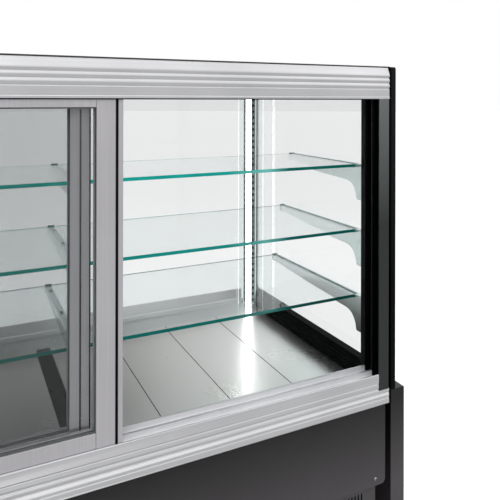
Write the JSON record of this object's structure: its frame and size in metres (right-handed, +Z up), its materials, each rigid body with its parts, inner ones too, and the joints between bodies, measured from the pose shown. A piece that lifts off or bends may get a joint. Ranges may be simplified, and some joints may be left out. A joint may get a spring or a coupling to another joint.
{
  "type": "refrigerated bakery display case",
  "caption": "Glass-sided refrigerated counter case seen from the staff side, with sliding rear doors, glass shelves on arms and a steel tray deck over a louvred machine base.",
  "frame": {"origin": "on the floor, under the middle of the case", "axes": "+Z up, +X along the case towards the staff's left, +Y towards the staff side, where the sliding doors are"},
  "size_m": [1.609, 0.775, 1.35],
  "materials": {
    "satin_aluminium": "satin silver anodised extrusion",
    "black_anodised": "satin black",
    "charcoal_paint": "satin charcoal powder coat",
    "brushed_steel": "bright brushed stainless sheet",
    "clear_glass": "clear, polished edges",
    "shelf_glass": "clear with green polished edges",
    "cast_bracket": "polished casting",
    "lamp_profile": "satin profile with a white diffuser",
    "white_nylon": "moulded nylon",
    "tub_lining": "foam-filled tub with a grey lining",
    "zinc_sheet": "zinc-coated sheet",
    "coil_aluminium": "fin stack",
    "compressor_enamel": "black enamel",
    "switch_plastic": "black rocker",
    "foot_black": "black glass-filled nylon"
  },
  "bodies": {
    "case": {"roof_panel": "charcoal_paint", "front_panel": "charcoal_paint", "service_panel": "charcoal_paint", "louvre_panel": "charcoal_paint", "base_end_panel_right": "charcoal_paint", "base_end_panel_left": "charcoal_paint", "head_rail": "satin_aluminium", "bottom_rail": "satin_aluminium", "centre_frame": "black_anodised", "rear_jamb_right": "black_anodised", "rear_jamb_left": "black_anodised", "end_frame_right": "black_anodised", "end_frame_left": "black_anodised", "side_rail_right": "black_anodised", "side_rail_left": "black_anodised", "front_glass": "clear_glass", "side_glass_right": "clear_glass", "side_glass_left": "clear_glass", "corner_light_right": "lamp_profile", "corner_light_left": "lamp_profile", "air_grille": "brushed_steel", "deck_tray_1": "brushed_steel", "deck_tray_2": "brushed_steel", "deck_tray_3": "brushed_steel", "deck_tray_4": "brushed_steel", "deck_tray_5": "brushed_steel", "deck_tray_6": "brushed_steel", "deck_tray_7": "brushed_steel", "deck_tray_8": "brushed_steel", "shelf_top": "shelf_glass", "shelf_middle": "shelf_glass", "shelf_bottom": "shelf_glass", "bracket_top_right": "cast_bracket", "bracket_top_left": "cast_bracket", "bracket_top_centre": "cast_bracket", "bracket_middle_right": "cast_bracket", "bracket_middle_left": "cast_bracket", "bracket_middle_centre": "cast_bracket", "bracket_bottom_right": "cast_bracket", "bracket_bottom_left": "cast_bracket", "bracket_bottom_centre": "cast_bracket", "well_tub": "tub_lining", "base_floor": "zinc_sheet", "condenser": "coil_aluminium", "compressor": "compressor_enamel"},
    "door_right": {"door_right_frame": "satin_aluminium", "door_right_glass": "clear_glass"},
    "door_left": {"door_left_frame": "satin_aluminium", "door_left_glass": "clear_glass"},
    "door_right_roller_1": {"door_right_roller_1": "white_nylon"},
    "door_right_roller_2": {"door_right_roller_2": "white_nylon"},
    "door_left_roller_1": {"door_left_roller_1": "white_nylon"},
    "door_left_roller_2": {"door_left_roller_2": "white_nylon"},
    "condenser_fan": {"condenser_fan": "white_nylon"},
    "evaporator_fan": {"evaporator_fan": "white_nylon"},
    "light_switch": {"light_switch": "switch_plastic"},
    "levelling_foot_1": {"levelling_foot_1": "foot_black"},
    "levelling_foot_2": {"levelling_foot_2": "foot_black"},
    "levelling_foot_3": {"levelling_foot_3": "foot_black"},
    "levelling_foot_4": {"levelling_foot_4": "foot_black"}
  },
  "joints": [
    {"name": "door_right_slide", "type": "slide", "parent": "case", "child": "door_right", "axis": [-1, 0, 0], "range_m": [-0.062, 0.6585]},
    {"name": "door_left_slide", "type": "slide", "parent": "case", "child": "door_left", "axis": [-1, 0, 0], "range_m": [0, 0.7205]},
    {"name": "door_right_roller_1_spin", "type": "hinge", "parent": "door_right", "child": "door_right_roller_1", "pos_m": [0.0403, 0.3715, 0.5667], "axis": [0, -1, 0], "continuous": true},
    {"name": "door_right_roller_2_spin", "type": "hinge", "parent": "door_right", "child": "door_right_roller_2", "pos_m": [0.5563, 0.3715, 0.5667], "axis": [0, -1, 0], "continuous": true},
    {"name": "door_left_roller_1_spin", "type": "hinge", "parent": "door_left", "child": "door_left_roller_1", "pos_m": [0.6185, 0.3425, 0.5667], "axis": [0, -1, 0], "continuous": true},
    {"name": "door_left_roller_2_spin", "type": "hinge", "parent": "door_left", "child": "door_left_roller_2", "pos_m": [0.1025, 0.3425, 0.5667], "axis": [0, -1, 0], "continuous": true},
    {"name": "condenser_fan_spin", "type": "hinge", "parent": "case", "child": "condenser_fan", "pos_m": [0.15, 0.2632, 0.1884], "axis": [0, 1, 0], "continuous": true},
    {"name": "evaporator_fan_spin", "type": "hinge", "parent": "case", "child": "evaporator_fan", "pos_m": [0.3, -0.0325, 0.4], "axis": [0, 0, 1], "continuous": true},
    {"name": "light_switch_rock", "type": "hinge", "parent": "case", "child": "light_switch", "pos_m": [0.64, 0.3815, 0.4], "axis": [-1, 0, 0], "range_deg": [0, 9]},
    {"name": "levelling_foot_1_screw", "type": "slide", "parent": "case", "child": "levelling_foot_1", "axis": [0, 0, -1], "range_m": [0, 0.025]},
    {"name": "levelling_foot_2_screw", "type": "slide", "parent": "case", "child": "levelling_foot_2", "axis": [0, 0, -1], "range_m": [0, 0.025]},
    {"name": "levelling_foot_3_screw", "type": "slide", "parent": "case", "child": "levelling_foot_3", "axis": [0, 0, -1], "range_m": [0, 0.025]},
    {"name": "levelling_foot_4_screw", "type": "slide", "parent": "case", "child": "levelling_foot_4", "axis": [0, 0, -1], "range_m": [0, 0.025]}
  ]
}
